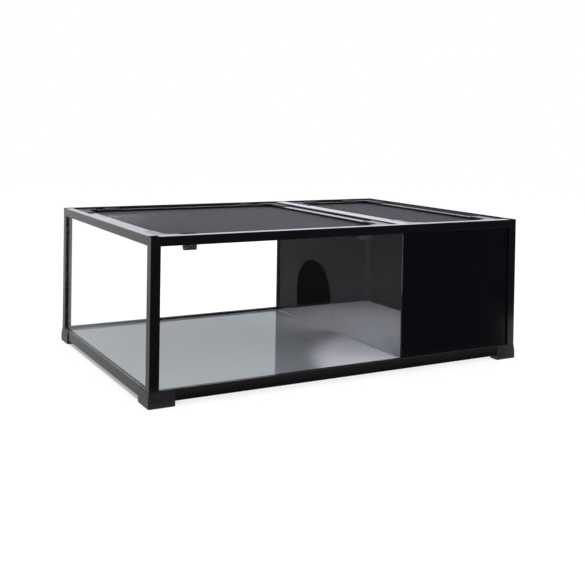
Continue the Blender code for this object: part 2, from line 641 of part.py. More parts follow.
# Hinges: a leaf on the lid's back rail, and a pin through its knuckle
def build_leaf(name, x):
    low, high = LID_TOP + GAP, LID_TOP + GAP + LEAF_THICKNESS
    start = math.degrees(math.asin((low - PIN_HEIGHT) / KNUCKLE_RADIUS))
    end = math.degrees(math.asin((high - PIN_HEIGHT) / KNUCKLE_RADIUS))
    knuckle = arc((PIN_Y, PIN_HEIGHT), KNUCKLE_RADIUS, -180 - start, 180 - end, 16)
    tongue = LID_BACK - LEAF_REACH / 2
    leaf = loft(name, along_x([(tongue, high), (tongue, low)] + knuckle, x, KNUCKLE_LENGTH / 2),
                FRAME_PLASTIC)
    plate = box_loops((x - LEAF_LENGTH / 2, LID_BACK - LEAF_REACH, low),
                      (x + LEAF_LENGTH / 2, LID_BACK - GAP, high))
    join(leaf, [plate])
    cut(leaf, [along_x(pin_circle(PIN_RADIUS + GAP), x, PIN_LENGTH)])
    shade_smooth(leaf)


def build_pin(name, x):
    shade_smooth(loft(name, along_x(pin_circle(PIN_RADIUS), x, PIN_LENGTH / 2), PIN_STEEL))


def build_latch(name, x):
    """A sliding latch, drawn open: thumb plate, stem, shoulder and hook in one moulding."""
    front = -HALF_DEPTH + TOP_RAIL_WIDTH + LEDGE_WIDTH + HOOK_CLEARANCE
    stem_front = front + HOOK_REACH
    stem_back = stem_front + STEM_DEPTH
    hook_top = TOP_RAIL_BOTTOM - GAP
    hook_bottom = hook_top - HOOK_HEIGHT
    chamfer = HOOK_HEIGHT / 3
    hook = outline([(front, hook_top), (front, hook_bottom + chamfer, EDGE_RADIUS),
                    (front + chamfer / 2, hook_bottom, EDGE_RADIUS),
                    (stem_back - chamfer, hook_bottom, EDGE_RADIUS),
                    (stem_back, hook_bottom + chamfer, EDGE_RADIUS), (stem_back, hook_top)])
    latch = loft(name, along_x(hook, x, LATCH_WIDTH / 2), LATCH_PLASTIC)
    thumb_low = LID_TOP + GAP
    thumb_high = thumb_low + THUMB_THICKNESS
    middle = (stem_front + stem_back) / 2
    thumb_front = middle - THUMB_DEPTH / 2
    thumb_back = middle + THUMB_DEPTH / 2
    # Three grip ridges stand on the thumb plate
    ridge = THUMB_DEPTH / 12
    grip = [(thumb_front, thumb_low), (thumb_back, thumb_low), (thumb_back, thumb_high)]
    for step in (2, 1, 0):
        at = middle + (step - 1) * 3 * ridge
        grip += [(at + ridge, thumb_high), (at + ridge / 2, thumb_high + ridge / 2),
                 (at - ridge / 2, thumb_high + ridge / 2), (at - ridge, thumb_high)]
    grip += [(thumb_front, thumb_high)]
    shoulder_top = LID_BOTTOM - GAP
    shoulder = box_loops((x - LATCH_WIDTH / 2, stem_front - LATCH_TRAVEL / 4, shoulder_top - LATCH_TRAVEL / 4),
                         (x + LATCH_WIDTH / 2, stem_back + LATCH_TRAVEL / 4, shoulder_top))
    stem = box_loops((x - STEM_WIDTH / 2, stem_front, hook_top - chamfer),
                     (x + STEM_WIDTH / 2, stem_back, thumb_low + THUMB_THICKNESS / 2))
    apply_boolean(latch, cutter(name + "_stem", [stem]), "UNION")
    apply_boolean(latch, cutter(name + "_shoulder", [shoulder]), "UNION")
    apply_boolean(latch, cutter(name + "_thumb", [along_x(grip, x, THUMB_WIDTH / 2)]), "UNION")


def build_lid(lid, span):
    build_lid_rails(lid, span)
    build_lid_corners(lid, span)
    build_screen(lid, span)
    for side, x in zip(("left", "right"), HINGES[lid]):
        build_leaf(f"{lid}_lid_hinge_leaf_{side}", x)
        build_pin(f"{lid}_lid_hinge_pin_{side}", x)


build_bottom_rails()
build_posts()
build_top_rails()
build_top_corners()
build_feet()
build_panes()
build_divider()
build_crossbar()
build_lid("large", LARGE_LID)
build_lid("small", SMALL_LID)
for latch_side, latch_x in zip(("left", "right"), pair_of_centres(LARGE_LID, LATCH_INSET)):
    build_latch(f"latch_{latch_side}", latch_x)
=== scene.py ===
# %% [markdown]
# # A tortoise house, finished in Blender
#
# The construction model gives every solid piece at its real size: rails, posts, panes, lids,
# hinges and latches. This lesson gives those pieces their surfaces, and makes the few things
# that are too fine for the construction model: the woven screens, the small screws and the bead
# at the divider's foot. Lengths are in metres. The front of the tank faces -Y, the hide is at
# its +X end, and +Z is up.

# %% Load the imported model
import fnmatch
import math

import bpy
import numpy as np
from mathutils import Matrix, Vector


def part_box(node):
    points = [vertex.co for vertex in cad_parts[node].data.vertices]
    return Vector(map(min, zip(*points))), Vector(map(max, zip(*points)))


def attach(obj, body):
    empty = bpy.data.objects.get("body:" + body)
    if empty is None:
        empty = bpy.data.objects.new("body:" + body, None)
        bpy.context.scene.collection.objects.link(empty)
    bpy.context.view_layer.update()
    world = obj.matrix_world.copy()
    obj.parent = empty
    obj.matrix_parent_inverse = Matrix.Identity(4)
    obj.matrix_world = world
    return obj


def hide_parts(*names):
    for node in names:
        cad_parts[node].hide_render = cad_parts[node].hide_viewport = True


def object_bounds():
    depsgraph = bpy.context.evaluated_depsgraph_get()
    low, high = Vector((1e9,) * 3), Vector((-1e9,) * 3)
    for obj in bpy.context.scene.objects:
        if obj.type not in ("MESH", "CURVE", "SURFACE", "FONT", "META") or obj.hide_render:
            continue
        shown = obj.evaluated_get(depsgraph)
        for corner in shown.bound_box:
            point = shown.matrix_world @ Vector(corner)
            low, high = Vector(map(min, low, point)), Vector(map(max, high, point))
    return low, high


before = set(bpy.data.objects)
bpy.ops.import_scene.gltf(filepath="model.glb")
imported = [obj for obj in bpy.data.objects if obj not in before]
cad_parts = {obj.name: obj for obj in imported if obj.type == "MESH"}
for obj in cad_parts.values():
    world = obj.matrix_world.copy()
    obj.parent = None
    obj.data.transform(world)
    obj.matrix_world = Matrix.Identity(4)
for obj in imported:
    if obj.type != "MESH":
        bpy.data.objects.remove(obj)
cad_low, cad_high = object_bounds()
print("box of the construction model:", tuple(round(v, 4) for v in cad_low),
      tuple(round(v, 4) for v in cad_high))

# %% [markdown]
# ## The camera
#
# The photograph was taken with a shift lens: the upright posts stay parallel although the
# camera stands above the lids. Blender's camera does the same with Shift Y. The camera is given
# by where it stands and three angles, and its matrix is built from the right, up and forward
# directions. That keeps the numbers readable, where a quaternion would hide them.

# %% Place the camera
PHOTO_SIDE = 585
CAMERA_PLACE = Vector((-1.4228, -2.5577, 0.7326))
CAMERA_YAW = math.radians(28.201)
CAMERA_PITCH = math.radians(1.0)
CAMERA_ROLL = math.radians(0.907)
FOCAL_PIXELS = 906.7
AXIS_PIXEL = (271.8, 137.9)
SENSOR_WIDTH = 36.0
FARTHEST_SEEN = 100.0


def camera_matrix(place, yaw, pitch, roll):
    """Right, up and backward as columns; roll turns right and up about the line of sight."""
    forward = Vector((math.sin(yaw) * math.cos(pitch), math.cos(yaw) * math.cos(pitch),
                      -math.sin(pitch)))
    level = Vector((math.cos(yaw), -math.sin(yaw), 0.0))
    upright = level.cross(forward)
    right = math.cos(roll) * level + math.sin(roll) * upright
    up = math.cos(roll) * upright - math.sin(roll) * level
    matrix = Matrix((right, up, -forward)).transposed().to_4x4()
    matrix.translation = place
    return matrix


camera_data = bpy.data.cameras.new("camera")
camera_data.sensor_width = SENSOR_WIDTH
camera_data.lens = FOCAL_PIXELS / PHOTO_SIDE * SENSOR_WIDTH
camera_data.shift_x = (PHOTO_SIDE / 2 - AXIS_PIXEL[0]) / PHOTO_SIDE
camera_data.shift_y = (AXIS_PIXEL[1] - PHOTO_SIDE / 2) / PHOTO_SIDE
camera_data.clip_end = FARTHEST_SEEN
camera = bpy.data.objects.new("camera", camera_data)
bpy.context.scene.collection.objects.link(camera)
camera.matrix_world = camera_matrix(CAMERA_PLACE, CAMERA_YAW, CAMERA_PITCH, CAMERA_ROLL)
bpy.context.scene.camera = camera
print(f"lens {camera_data.lens:.2f} mm, shift {camera_data.shift_x:.3f}, {camera_data.shift_y:.3f}")

# %% [markdown]
# ## Small helpers for node trees
#
# A material is a tree of nodes joined by links. Each of these helpers adds a node, or a short
# chain of them, and returns its output, so that a tree reads like a sum. Their inputs may be
# outputs of other nodes, plain numbers or colours. They serve materials, node groups and the
# world alike.

# %% Helpers for node trees
MIX_FACTOR, MIX_FIRST, MIX_SECOND, MIX_RESULT = 0, 6, 7, 2


def link(tree, source, target):
    """Joins an output socket to an input socket."""
    tree.links.new(source, target)


def feed(tree, values, sockets):
    """Sets each socket to a number or a colour, or joins it to an output."""
    for value, socket in zip(values, sockets):
        if isinstance(value, tuple):
            socket.default_value = (*value, 1.0)
        elif isinstance(value, (int, float)):
            socket.default_value = value
        elif value is not None:
            link(tree, value, socket)


def math_node(tree, operation, first, second=None, third=None, clamp=False):
    """A Math node."""
    node = tree.nodes.new("ShaderNodeMath")
    node.operation = operation
    node.use_clamp = clamp
    feed(tree, (first, second, third), node.inputs)
    return node.outputs[0]


def product(tree, *factors):
    """The product of several values, as a chain of Math nodes."""
    result = factors[0]
    for factor in factors[1:]:
        result = math_node(tree, "MULTIPLY", result, factor)
    return result


def remap(tree, value, old_low, old_high, new_low, new_high, smooth=False):
    """A Map Range node, which carries one span of numbers to another and stops at its ends."""
    node = tree.nodes.new("ShaderNodeMapRange")
    node.interpolation_type = "SMOOTHSTEP" if smooth else "LINEAR"
    spans = ("Value", "From Min", "From Max", "To Min", "To Max")
    feed(tree, (value, old_low, old_high, new_low, new_high), [node.inputs[name] for name in spans])
    return node.outputs["Result"]


def mix_colours(tree, factor, first, second, blend="MIX"):
    """A colour Mix node."""
    node = tree.nodes.new("ShaderNodeMix")
    node.data_type = "RGBA"
    node.blend_type = blend
    feed(tree, (factor, first, second),
         [node.inputs[slot] for slot in (MIX_FACTOR, MIX_FIRST, MIX_SECOND)])
    return node.outputs[MIX_RESULT]


def mix_shaders(tree, factor, first, second):
    """A Mix Shader node: the first shader where the factor is 0, the second where it is 1."""
    node = tree.nodes.new("ShaderNodeMixShader")
    feed(tree, (factor, first, second), node.inputs)
    return node.outputs[0]


def object_place(tree):
    """Object coordinates: the place of a point in its piece's own mesh, in metres."""
    return tree.nodes.new("ShaderNodeTexCoord").outputs["Object"]


def stretched(tree, place, scale, turn=(0.0, 0.0, 0.0)):
    """Coordinates that are turned and then scaled by a Mapping node."""
    node = tree.nodes.new("ShaderNodeMapping")
    node.inputs["Rotation"].default_value = turn
    node.inputs["Scale"].default_value = scale
    link(tree, place, node.inputs["Vector"])
    return node.outputs[0]


def xyz_parts(tree, vector):
    """The outputs of a Separate XYZ node, called X, Y and Z."""
    node = tree.nodes.new("ShaderNodeSeparateXYZ")
    link(tree, vector, node.inputs[0])
    return node.outputs


def noise_node(tree, place, scale, detail, roughness=0.5):
    """A Noise Texture on the given coordinates; its value runs from 0 to 1."""
    node = tree.nodes.new("ShaderNodeTexNoise")
    feed(tree, (place, scale, detail, roughness),
         [node.inputs[name] for name in ("Vector", "Scale", "Detail", "Roughness")])
    return node.outputs["Fac"]


print("node helpers ready")

# %% [markdown]
# ## The studio
#
# Black plastic has almost no colour of its own. What the eye reads is what it mirrors: here a
# white studio all round, and a dark room behind the camera, which is why the front faces are
# black and the sides are grey. The world therefore answers four kinds of ray. The camera sees
# plain white. Mirroring surfaces see bright, slightly cool white with a dark side at the front.
# What is seen through the glass is white near the horizon. Above that, where only the glossy
# floor panel looks, it is cooler and dimmer, and a little higher it brightens again, which
# gives the floor panel its soft fade. Everything else gets an even, soft light.

# %% The world: what is seen, what is mirrored and what gives light
SOFT_LIGHT = 0.55
DARK_ROOM = 0.04
DARK_SIDE_END = (-0.80, -0.30)
MIRRORED_WHITE = (1.34, 1.34, 1.47)
WHITE_THROUGH_GLASS = (1.16, 1.15, 1.15)
HIGH_WHITE = (1.16, 1.25, 1.28)
HIGH_WHITE_START = (0.04, 0.14)
HIGH_WHITE_RISE = (0.20, 0.29)
HIGH_WHITE_LOWEST = 0.62
PLAIN_WHITE = (1.0, 1.0, 1.0)

world = bpy.data.worlds.new("studio")
bpy.context.scene.world = world
world.use_nodes = True
tree = world.node_tree
tree.nodes.clear()
direction = xyz_parts(tree, tree.nodes.new("ShaderNodeTexCoord").outputs["Generated"])
in_front = remap(tree, direction["Y"], *DARK_SIDE_END, DARK_ROOM, 1.0, smooth=True)
mirrored = mix_colours(tree, 1.0, MIRRORED_WHITE, in_front, "MULTIPLY")
high = remap(tree, direction["Z"], *HIGH_WHITE_START, 0.0, 1.0, smooth=True)
rise = remap(tree, direction["Z"], *HIGH_WHITE_RISE, HIGH_WHITE_LOWEST, 1.0)
through_glass = mix_colours(tree, high, WHITE_THROUGH_GLASS,
                            mix_colours(tree, 1.0, HIGH_WHITE, rise, "MULTIPLY"))
rays = tree.nodes.new("ShaderNodeLightPath")
answer = mix_colours(tree, rays.outputs["Is Glossy Ray"], (SOFT_LIGHT,) * 3, mirrored)
answer = mix_colours(tree, rays.outputs["Is Transmission Ray"], answer, through_glass)
answer = mix_colours(tree, rays.outputs["Is Camera Ray"], answer, PLAIN_WHITE)
background = tree.nodes.new("ShaderNodeBackground")
link(tree, answer, background.inputs["Color"])
output = tree.nodes.new("ShaderNodeOutputWorld")
link(tree, background.outputs[0], output.inputs["Surface"])
bpy.context.scene.view_settings.view_transform = "Standard"
print("soft light from all round:", SOFT_LIGHT)

# %% [markdown]
# The floor is one large pale sheet. To the camera it is white paper that keeps only a faint
# shadow, because the photograph's floor is almost pure white. Through the glass it is slightly
# cool, and shaded in a band below the left bottom rail. To the rest of the scene it is plain
# pale paper. What mirrors it sees it pale at the back and the sides, and dark in front of the
# tank, where the dark side of the studio begins. Close to the front a faint glow lies on it,
# which shades off down the front rail, and one pale strip at the front right puts the soft
# highlight on the lower half of the right post.

# %% The floor
FLOOR_REACH = 12.0
PAPER_GREY = (0.80, 0.80, 0.80)
PAPER_WHITE = 1.30
SHARE_OF_SHADE = 0.35
COOL_WHITE = (1.12, 1.14, 1.16)
PAINTED_SHADE_UNDER_LEFT_RAIL = 0.42
BAND_LEFT, BAND_RIGHT, BAND_END = (-0.613, -0.600), (-0.56, -0.50), (0.36, 0.40)
DARK_FLOOR, MIRRORED_FLOOR, FAR_GAIN = 0.03, 0.55, 1.35
FLOOR_TURNS_PALE, FAR_FLOOR = (-0.46, -0.40), (0.5, 1.6)
FRONT_GLOW, GLOW_RISE, GLOW_FALL = 0.24, (-0.565, -0.53), (-0.53, -0.455)
STRIP_BRIGHTNESS, STRIP_SLANT = 0.88, 0.94
STRIP_LEFT, STRIP_FRONT = (0.18, 0.22), (-0.93, -0.80)


def painted_shadow_below_left_rail(nodes, x, y):
    """Painted shadow: 1 below the left bottom rail, falling to 0 on both sides and at its ends."""
    return product(nodes, remap(nodes, x, *BAND_LEFT, 0.0, 1.0, smooth=True),
                   remap(nodes, x, *BAND_RIGHT, 1.0, 0.0),
                   remap(nodes, math_node(nodes, "ABSOLUTE", y), *BAND_END, 1.0, 0.0))


def floor_in_mirrors(nodes, x, y):
    """The brightest of three: the pale floor behind the tank's front, the glow close in front
    of it, and the strip at the front right. The strip begins where x plus its slant times y
    passes STRIP_LEFT."""
    pale = product(nodes,
                   remap(nodes, y, *FLOOR_TURNS_PALE, DARK_FLOOR, MIRRORED_FLOOR, smooth=True),
                   remap(nodes, y, *FAR_FLOOR, 1.0, FAR_GAIN, smooth=True))
    glow = product(nodes, remap(nodes, y, *GLOW_FALL, FRONT_GLOW, 0.0),
                   remap(nodes, y, *GLOW_RISE, 0.0, 1.0))
    aslant = math_node(nodes, "MULTIPLY_ADD", y, STRIP_SLANT, x)
    strip = product(nodes, remap(nodes, aslant, *STRIP_LEFT, 0.0, 1.0, smooth=True),
                    remap(nodes, y, *STRIP_FRONT, 0.0, STRIP_BRIGHTNESS, smooth=True),
                    remap(nodes, y, *FLOOR_TURNS_PALE, 1.0, 0.0))
    return math_node(nodes, "MAXIMUM", math_node(nodes, "MAXIMUM", pale, glow), strip)


def paper_floor():
    """White paper: mostly its own white to the camera, with a share of real shade."""
    made = bpy.data.materials.new("studio_paper")
    made.use_nodes = True
    nodes = made.node_tree
    nodes.nodes.clear()
    place = xyz_parts(nodes, object_place(nodes))
    rays = nodes.nodes.new("ShaderNodeLightPath").outputs
    paper = nodes.nodes.new("ShaderNodeBsdfDiffuse")
    paper.inputs["Color"].default_value = (*PAPER_GREY, 1.0)
    own_white = nodes.nodes.new("ShaderNodeEmission")
    # painted shadow: the paper's own white is turned down below the left bottom rail
    band = painted_shadow_below_left_rail(nodes, place["X"], place["Y"])
    link(nodes, remap(nodes, band, 0.0, 1.0, PAPER_WHITE, PAPER_WHITE * PAINTED_SHADE_UNDER_LEFT_RAIL),
         own_white.inputs["Strength"])
    link(nodes, mix_colours(nodes, rays["Is Transmission Ray"], PLAIN_WHITE, COOL_WHITE),
         own_white.inputs["Color"])
    in_mirror = nodes.nodes.new("ShaderNodeEmission")
    link(nodes, floor_in_mirrors(nodes, place["X"], place["Y"]), in_mirror.inputs["Strength"])
    to_camera = mix_shaders(nodes, SHARE_OF_SHADE, own_white.outputs[0], paper.outputs[0])
    to_scene = mix_shaders(nodes, rays["Is Glossy Ray"], paper.outputs[0], in_mirror.outputs[0])
    seen = math_node(nodes, "MAXIMUM", rays["Is Camera Ray"], rays["Is Transmission Ray"])
    out = nodes.nodes.new("ShaderNodeOutputMaterial")
    link(nodes, mix_shaders(nodes, seen, to_scene, to_camera), out.inputs["Surface"])
    return made


floor_mesh = bpy.data.meshes.new("studio_floor")
floor_mesh.from_pydata([(x * FLOOR_REACH, y * FLOOR_REACH, cad_low[2]) for x, y in
                        ((-1, -1), (1, -1), (1, 1), (-1, 1))], [], [(0, 1, 2, 3)])
floor_mesh.materials.append(paper_floor())
studio_floor = bpy.data.objects.new("studio_floor", floor_mesh)
bpy.context.scene.collection.objects.link(studio_floor)
print("floor at z =", round(cad_low[2], 4))

# %% [markdown]
# Two large, weak area lamps stand in for softboxes. Their power is worked out from the light
# that they should add on a level white card below them: an area lamp of P watts at a distance
# of d metres makes such a card P / (pi d)^2 bright.

# %% Softboxes
def aimed_lamp(name, kind, place, aim):
    """A lamp that points from its place to its aim; returns it and the distance."""
    reach = Vector(aim) - Vector(place)
    made = bpy.data.objects.new(name, bpy.data.lights.new(name, kind))
    made.location = place
    made.rotation_euler = reach.to_track_quat("-Z", "Y").to_euler()
    bpy.context.scene.collection.objects.link(made)
    return made, reach.length


def softbox(name, place, aim, side, card_brightness):
    """A square area lamp that lights a white card at its aim to the given brightness."""
    lamp, distance = aimed_lamp(name, "AREA", place, aim)
    lamp.data.shape = "SQUARE"
    lamp.data.size = side
    lamp.data.energy = card_brightness * (math.pi * distance) ** 2
    print(f"{name}: {lamp.data.energy:.0f} W")


softbox("key_softbox", (-0.5, 0.4, 3.2), (0.1, 0.0, 0.4), 2.4, 0.38)
softbox("fill_softbox", (1.6, -2.2, 2.4), (0.2, 0.0, 0.2), 1.8, 0.14)

# %% [markdown]
# In the photograph a pool of light lies on the floor panel by the divider's front end, with a
# soft left edge. A small spot lamp, close to the front of the tank and above it, gives it
# through the front glass. The edge of its cone is the pool's left edge. Light linking keeps the
# lamp to the floor panel, because the hide's black front stays black in the photograph, and the
# lamp is kept out of reflections.

# %% The pool of light on the floor panel
POOL_PLACE, POOL_AIM = (-0.052, -0.952, 0.637), (0.17, -0.522, 0.037)
POOL_CONE = math.radians(45.2)
POOL_EDGE = 0.35
POOL_TINT = (1.0, 0.94, 0.96)
POOL_BRIGHTNESS = 2.85
POOL_LAMP_RADIUS = 0.02


def pool_lamp(name, lit_node):
    """A spot lamp; P watts at d metres make a facing white card P / (2 pi d)^2 bright."""
    lamp, distance = aimed_lamp(name, "SPOT", POOL_PLACE, POOL_AIM)
    lamp.data.spot_size = POOL_CONE
    lamp.data.spot_blend = POOL_EDGE
    lamp.data.shadow_soft_size = POOL_LAMP_RADIUS
    lamp.data.color = POOL_TINT
    lamp.data.energy = POOL_BRIGHTNESS * (2 * math.pi * distance) ** 2
    lamp.visible_glossy = False
    lamp.visible_transmission = False
    lit = bpy.data.collections.new(name + "_lights")
    lit.objects.link(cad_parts[lit_node])
    lamp.light_linking.receiver_collection = lit
    print(f"{name}: {lamp.data.energy:.0f} W, for the {lit_node} only")


pool_lamp("pool_lamp", "floor_panel")

# %% [markdown]
# The hide is a box of black sheet, so little light gets to its floor. The photograph shows that
# floor as pale as the rest, so a wide lamp just below the small lid's screen lights it. It shows
# neither to the camera nor in reflections.

# %% The lamp in the hide
HIDE_LAMP_BELOW_SCREEN = 0.012
HIDE_LAMP_RADIANCE = 2.8


def ceiling_lamp(name, low, high, height, radiance):
    """A level rectangle of light that points down; its power is its area times pi radiance."""
    data = bpy.data.lights.new(name, "AREA")
    data.shape = "RECTANGLE"
    data.size, data.size_y = high[0] - low[0], high[1] - low[1]
    data.energy = radiance * math.pi * data.size * data.size_y
    made = bpy.data.objects.new(name, data)
    made.location = ((low[0] + high[0]) / 2, (low[1] + high[1]) / 2, height)
    made.visible_camera = False
    made.visible_glossy = False
    made.visible_transmission = False
    bpy.context.scene.collection.objects.link(made)
    print(f"{name}: {data.energy:.1f} W")


hide_low, hide_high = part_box("small_lid_screen")
ceiling_lamp("hide_lamp", hide_low, hide_high, hide_low[2] - HIDE_LAMP_BELOW_SCREEN,
             HIDE_LAMP_RADIANCE)

# %% [markdown]
# ## Shared surface effects
#
# Several finishes use the same few effects, so each effect is a node group, built once and
# placed in each material with its own values. A group only hands out masks, values and heights.
# All of them read Object coordinates: every piece lies at the origin with its place in its
# mesh, so a pattern keeps its real scale in millimetres and stays put when a lid opens.

# %% Start a node group
def start_group(name, inputs, outputs):
    """A shader node group with float or vector sockets; returns its tree, inputs and outputs."""
    group = bpy.data.node_groups.new(name, "ShaderNodeTree")
    for label, kind, value in inputs:
        made = group.interface.new_socket(label, in_out="INPUT", socket_type=kind)
        made.default_value = value
    for label, kind in outputs:
        group.interface.new_socket(label, in_out="OUTPUT", socket_type=kind)
    return group, group.nodes.new("NodeGroupInput"), group.nodes.new("NodeGroupOutput")


print("groups can start")

# %% [markdown]
# **Drawn lines.** A plastic rail is pushed through a die, which leaves very fine lines along
# its length. Noise that is stretched along the rail and squeezed across it gives them. The
# stretch is a vector input, so one group serves rails along X, along Y and upright posts.

# %% Drawn lines
CLOUD_SCALE = 9.0


def build_drawn_lines():
    """Value = noise of the place times the stretch: long along the rail, fine across it."""
    group, given, result = start_group(
        "drawn_lines", [("Stretch", "NodeSocketVector", (1.0, 1.0, 1.0))],
        [("Lines", "NodeSocketFloat"), ("Cloud", "NodeSocketFloat")])
    place = object_place(group)
    scaled = group.nodes.new("ShaderNodeVectorMath")
    scaled.operation = "MULTIPLY"
    link(group, place, scaled.inputs[0])
    link(group, given.outputs["Stretch"], scaled.inputs[1])
    link(group, noise_node(group, scaled.outputs[0], 1.0, 3.0, 0.6), result.inputs["Lines"])
    link(group, noise_node(group, place, CLOUD_SCALE, 3.0), result.inputs["Cloud"])
    return group


DRAWN_LINES = build_drawn_lines()
print(DRAWN_LINES.name)

# %% [markdown]
# **Settled dust.** Dust lies on faces that point up, in soft patches. The mask is how far the
# surface faces up, times cloudy noise. It lightens black plastic a little and dulls its gloss.

# %% Settled dust
PATCH_SCALE, SPECK_SCALE = 22.0, 900.0


def build_settled_dust():
    """Dust = upward share of the normal, sharpened, times cloudy noise times the amount."""
    group, given, result = start_group(
        "settled_dust", [("Amount", "NodeSocketFloat", 0.2)], [("Dust", "NodeSocketFloat")])
    normal = xyz_parts(group, group.nodes.new("ShaderNodeNewGeometry").outputs["Normal"])
    upward = remap(group, normal["Z"], 0.5, 1.0, 0.0, 1.0, smooth=True)
    place = object_place(group)
    patches = remap(group, noise_node(group, place, PATCH_SCALE, 6.0, 0.62), 0.38, 0.68, 0.25, 1.0)
    specks = remap(group, noise_node(group, place, SPECK_SCALE, 2.0), 0.45, 0.7, 0.4, 1.0)
    link(group, product(group, patches, specks, upward, given.outputs["Amount"]),
         result.inputs["Dust"])
    return group


SETTLED_DUST = build_settled_dust()
print(SETTLED_DUST.name)

# %% [markdown]
# **Moulded grain.** Feet and latches come out of a spark-eroded mould, with a fine, even grain.
# Two sizes of noise, a coarser one for the grain and a finer one inside it, give its height.

# %% Moulded grain
FINE_GRAIN_SCALE, FINE_GRAIN_SHARE = 2600.0, 0.35
GLOSS_CLOUD_SCALE = 30.0


def build_moulded_grain():
    """Height = cell distances at the grain's size plus a little finer noise."""
    group, given, result = start_group(
        "moulded_grain", [("Grain Size", "NodeSocketFloat", 0.0009)],
        [("Height", "NodeSocketFloat"), ("Cloud", "NodeSocketFloat")])
    place = object_place(group)
    cells = group.nodes.new("ShaderNodeTexVoronoi")
    cells.feature = "SMOOTH_F1"
    link(group, place, cells.inputs["Vector"])
    link(group, math_node(group, "DIVIDE", 1.0, given.outputs["Grain Size"]), cells.inputs["Scale"])
    fine = noise_node(group, place, FINE_GRAIN_SCALE, 2.0)
    link(group, math_node(group, "MULTIPLY_ADD", fine, FINE_GRAIN_SHARE, cells.outputs["Distance"]),
         result.inputs["Height"])
    link(group, noise_node(group, place, GLOSS_CLOUD_SCALE, 3.0), result.inputs["Cloud"])
    return group


MOULDED_GRAIN = build_moulded_grain()
print(MOULDED_GRAIN.name)

# %% [markdown]
# ## Finishes
#
# Each finish is one Principled shader. Its colour, gloss and metal sit on the shader's own
# sockets where they are even, and only what varies over the surface comes from a group. The
# small radius of a real edge is far finer than the mesh, so a Bevel node rounds the shading at
# edges: a hard edge on black plastic would show no highlight and look cut from card.

# %% Helpers for a finish
PLAIN_SHINE = 0.5
EDGE_RADIUS = 0.0006
EDGE_SAMPLES = 4


def start_finish(name, colour, roughness, ior=1.5, metallic=0.0):
    """A material with one Principled shader; returns the material, its tree and the shader."""
    made = bpy.data.materials.new(name)
    made.use_nodes = True
    nodes = made.node_tree
    shader = nodes.nodes["Principled BSDF"]
    shader.inputs["Base Color"].default_value = (*colour, 1.0)
    shader.inputs["Roughness"].default_value = roughness
    shader.inputs["IOR"].default_value = ior
    shader.inputs["Metallic"].default_value = metallic
    return made, nodes, shader


def place_group(nodes, group, **values):
    """Puts a node group into a material with its own input values."""
    node = nodes.nodes.new("ShaderNodeGroup")
    node.node_tree = group
    for label, value in values.items():
        node.inputs[label.replace("_", " ")].default_value = value
    return node


def round_edges(nodes, shader, radius, height, depth):
    """Rounds the shading at edges, with a height of the given depth laid over it."""
    edge = nodes.nodes.new("ShaderNodeBevel")
    edge.samples = EDGE_SAMPLES
    edge.inputs["Radius"].default_value = radius
    bump = nodes.nodes.new("ShaderNodeBump")
    bump.inputs["Strength"].default_value = 1.0
    bump.inputs["Distance"].default_value = depth
    link(nodes, edge.outputs[0], bump.inputs["Normal"])
    link(nodes, height, bump.inputs["Height"])
    link(nodes, bump.outputs[0], shader.inputs["Normal"])


def dull_top(nodes, shader, top_shine):
    """Lowers the specular level on faces that point up, from the plain one to top_shine."""
    normal = xyz_parts(nodes, nodes.nodes.new("ShaderNodeNewGeometry").outputs["Normal"])
    link(nodes, remap(nodes, normal["Z"], 0.4, 0.8, PLAIN_SHINE, top_shine),
         shader.inputs["Specular IOR Level"])


print("finish helpers ready")

# %% [markdown]
# **Frame plastic.** Satin black extrusion. Seen flat on it is almost pure black, and seen at a
# shallow angle it turns pale, because every smooth surface mirrors more there. That is Fresnel
# reflection, which the shader does by itself, so the colour stays black. The exceptions are the
# channels that hold the divider and the tops of the back and right rails, which the photograph
# shows matte black, and the worn tops of the left rails, which lie between. Their specular
# level is turned down.

# %% Frame plastic, drawn along X, along Y and upright
DRAWN_BLACK = (0.0060, 0.0060, 0.0072)
DUSTED_BLACK = (0.055, 0.055, 0.058)
DUST_DULLS = 0.35
DRAWN_DEPTH = 0.000004


def frame_plastic(name, stretch, gloss, dust, top_shine=PLAIN_SHINE):
    """Satin black with drawn lines, cloudy gloss and a little dust on top faces. top_shine is
    the specular level of the faces that point up."""
    made, nodes, shader = start_finish(name, DRAWN_BLACK, gloss, ior=1.49)
    lines = place_group(nodes, DRAWN_LINES, Stretch=stretch)
    dusty = place_group(nodes, SETTLED_DUST, Amount=dust)
    link(nodes, mix_colours(nodes, dusty.outputs["Dust"], DRAWN_BLACK, DUSTED_BLACK),
         shader.inputs["Base Color"])
    satin = remap(nodes, lines.outputs["Cloud"], 0.3, 0.7, gloss - 0.025, gloss + 0.035)
    link(nodes, math_node(nodes, "MULTIPLY_ADD", dusty.outputs["Dust"], DUST_DULLS, satin),
         shader.inputs["Roughness"])
    if top_shine != PLAIN_SHINE:
        dull_top(nodes, shader, top_shine)
    round_edges(nodes, shader, EDGE_RADIUS, lines.outputs["Lines"], DRAWN_DEPTH)
    return made


ALONG_X = (1.5, 700.0, 700.0)
ALONG_Y = (700.0, 1.5, 700.0)
ALONG_Z = (700.0, 700.0, 1.5)
FRAME_X = frame_plastic("frame_plastic_along", ALONG_X, 0.14, 0.05)
FRAME_Y = frame_plastic("frame_plastic_across", ALONG_Y, 0.14, 0.05)
DULL_X = frame_plastic("dull_plastic_along", ALONG_X, 0.20, 0.0, top_shine=0.0)
DULL_Y = frame_plastic("dull_plastic_across", ALONG_Y, 0.20, 0.0, top_shine=0.0)
WORN_Y = frame_plastic("worn_plastic_across", ALONG_Y, 0.16, 0.10, top_shine=0.26)
FRAME_Z = frame_plastic("frame_plastic_upright", ALONG_Z, 0.17, 0.0)
CHANNEL_BLACK = frame_plastic("channel_plastic", ALONG_Z, 0.55, 0.0)
channel_shader = CHANNEL_BLACK.node_tree.nodes["Principled BSDF"]
channel_shader.inputs["Specular IOR Level"].default_value = 0.08
